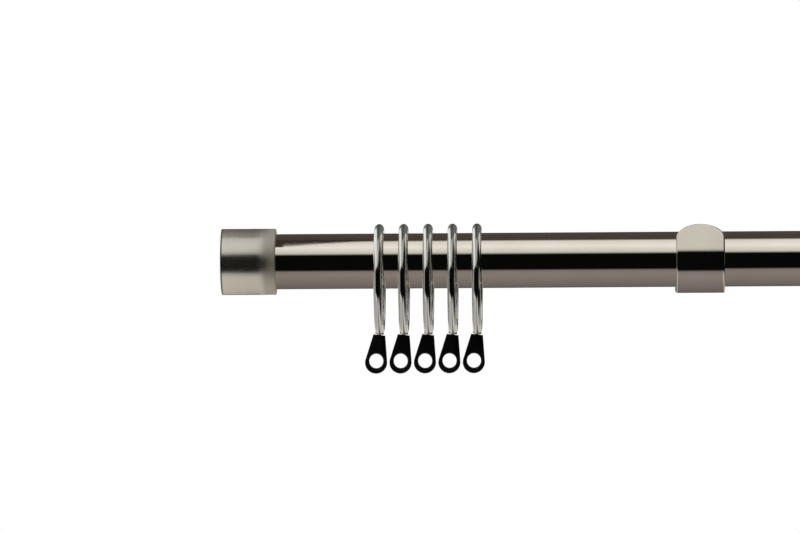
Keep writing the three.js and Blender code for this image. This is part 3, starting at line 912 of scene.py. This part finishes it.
def studio_world():
    """Light set by direction alone: the angle round X first, then what lies to either side."""
    world = bpy.data.worlds.new("studio")
    bpy.context.scene.world = world
    world.use_nodes = True
    nodes, links = world.node_tree.nodes, world.node_tree.links
    background = nodes["Background"]

    def feed(socket, value):
        if isinstance(value, bpy.types.NodeSocket):
            links.new(value, socket)
        else:
            socket.default_value = value

    def maths(operation, *values):
        step = nodes.new("ShaderNodeMath")
        step.operation = operation
        for socket, value in zip(step.inputs, values):
            feed(socket, value)
        return step.outputs[0]

    def both(a, b):
        return maths("MULTIPLY", a, b)

    def mixed(factor, a, b):
        mix = nodes.new("ShaderNodeMix")
        mix.data_type = "RGBA"
        for socket, value in zip((mix.inputs[0], mix.inputs[6], mix.inputs[7]), (factor, a, b)):
            feed(socket, value)
        return mix.outputs[2]

    def towards(value, low, high):
        """Rises smoothly from 0 to 1 as the value goes from low to high."""
        step = nodes.new("ShaderNodeMapRange")
        step.interpolation_type = "SMOOTHSTEP"
        feed(step.inputs["Value"], value)
        feed(step.inputs["From Min"], low)
        feed(step.inputs["From Max"], high)
        return step.outputs["Result"]

    direction = nodes.new("ShaderNodeSeparateXYZ")
    links.new(nodes.new("ShaderNodeTexCoord").outputs["Generated"], direction.inputs[0])
    across, depth, height = direction.outputs
    turn = maths("ARCTAN2", height, maths("MULTIPLY", depth, -1.0))
    away = maths("ABSOLUTE", across)
    turn_either_way = maths("ABSOLUTE", turn)

    def round_x(low, high, angle=turn):
        return towards(angle, math.radians(low), math.radians(high))

    ramp = nodes.new("ShaderNodeValToRGB")
    links.new(maths("ADD", maths("DIVIDE", turn, TAU), 0.5), ramp.inputs[0])
    stops = ramp.color_ramp.elements
    while len(stops) > 1:
        stops.remove(stops[-1])
    for i, (angle, colour) in enumerate(STUDIO):
        stop = stops[0] if i == 0 else stops.new(angle / 360 + 0.5)
        stop.position = angle / 360 + 0.5
        stop.color = (*colour, 1.0)

    below = round_x(-38, -60)
    overhead = both(round_x(60, 66), round_x(110, 95))
    past_71 = maths("SUBTRACT", turn, math.radians(71))
    softbox_end = maths("ADD", SOFTBOX_END, maths("MULTIPLY", past_71, SOFTBOX_END_SLANT))
    past_it = towards(maths("SUBTRACT", across, softbox_end), 0.001, -0.001)
    past_end = both(past_it, towards(across, -0.14, -0.10))
    low_right = both(towards(across, 0.12, 0.20), round_x(44, 34))
    beside = mixed(low_right, mixed(round_x(55, 75), BESIDE_LOW, BESIDE_HIGH), RIGHT_DARK)
    out_of_gap = maths("MAXIMUM", round_x(-34, -46), round_x(22, 34))
    behind = both(round_x(100, 115, turn_either_way), round_x(174, 160, turn_either_way))
    behind_right = both(behind, both(towards(across, 0.48, 0.56), towards(across, 0.90, 0.80)))
    seen = ramp.outputs[0]
    for where, light in (
        (both(below, towards(away, 0.07, 0.14)), PALE_BOUNCE),
        (both(round_x(24, 30), towards(away, 0.10, 0.18)), beside),
        (both(round_x(92, 105), towards(away, 0.07, 0.14)), CEILING),
        (both(overhead, past_end), DIM_END),
        (both(towards(across, -0.28, -0.4), out_of_gap), mixed(below, LEFT_PANEL, LEFT_LOW)),
        (towards(across, -0.80, -0.92), LEFT_EDGE),
        (towards(across, 0.45, 0.65), RIGHT_DARK),
        (behind_right, mixed(towards(turn, 0.3, -0.3), REAR_HIGH, REAR_LOW)),
        (towards(across, 0.97, 0.985), END_PANEL),
    ):
        seen = mixed(where, seen, light)
    camera_ray = nodes.new("ShaderNodeLightPath").outputs["Is Camera Ray"]
    links.new(mixed(camera_ray, seen, CAMERA_SEES), background.inputs["Color"])


def floor():
    """A pale round floor under the pole, with a faint even glow of its own."""
    radius, top, thick = 5.0, -0.45, 0.01
    disc = turned("floor", [(0, top - thick), (radius, top - thick), (radius, top), (0, top)], 96)
    paint = Finish("floor_paint")
    grain = paint.noise(60, 3)
    fine = paint.noise(700, 2)
    paint.set(Base_Color=paint.blend(grain, rgba(0.80, 0.80, 0.79), rgba(0.86, 0.86, 0.85)), Roughness=0.85,
              Emission_Color=rgba(1, 1, 0.99), Emission_Strength=0.55)
    paint.bump((fine, 2e-5))
    disc.data.materials.append(paint.material)
    disc.visible_glossy = False
    disc.visible_diffuse = False


def soft_light():
    """A wide lamp above and in front, hidden from shiny reflections."""
    data = bpy.data.lights.new("overhead", "AREA")
    data.shape = "RECTANGLE"
    data.size, data.size_y = 2.4, 1.6
    data.energy = 30
    data.color = (1.0, 0.985, 0.96)
    light = bpy.data.objects.new("overhead", data)
    light.location = (-0.3, -0.9, 2.0)
    light.rotation_euler = (math.radians(-22), 0, 0)
    light.visible_glossy = False
    bpy.context.scene.collection.objects.link(light)


def camera():
    """A long lens level with the pole, a little left of the left bracket and turned slightly to the left."""
    bracket_x = middle("bracket_strap_left").x
    stand, distance = bracket_x - 39.7 * MM, 3.297
    aim = Vector((bracket_x - 152.3 * MM, POLE_AXIS.y, -3.05 * MM))
    roll = Matrix.Rotation(math.radians(-0.36), 4, "Z")
    data = bpy.data.cameras.new("camera")
    data.sensor_width = 36
    data.lens = 292.5
    data.clip_end = 100
    eye = bpy.data.objects.new("camera", data)
    eye.location = (stand, POLE_AXIS.y - distance, 0)
    heading = (aim - eye.location).to_track_quat("-Z", "Y")
    eye.matrix_world = Matrix.Translation(eye.location) @ heading.to_matrix().to_4x4() @ roll
    bpy.context.scene.collection.objects.link(eye)
    bpy.context.scene.camera = eye


studio_world()
floor()
soft_light()
camera()
bpy.context.scene.view_settings.view_transform = "Standard"
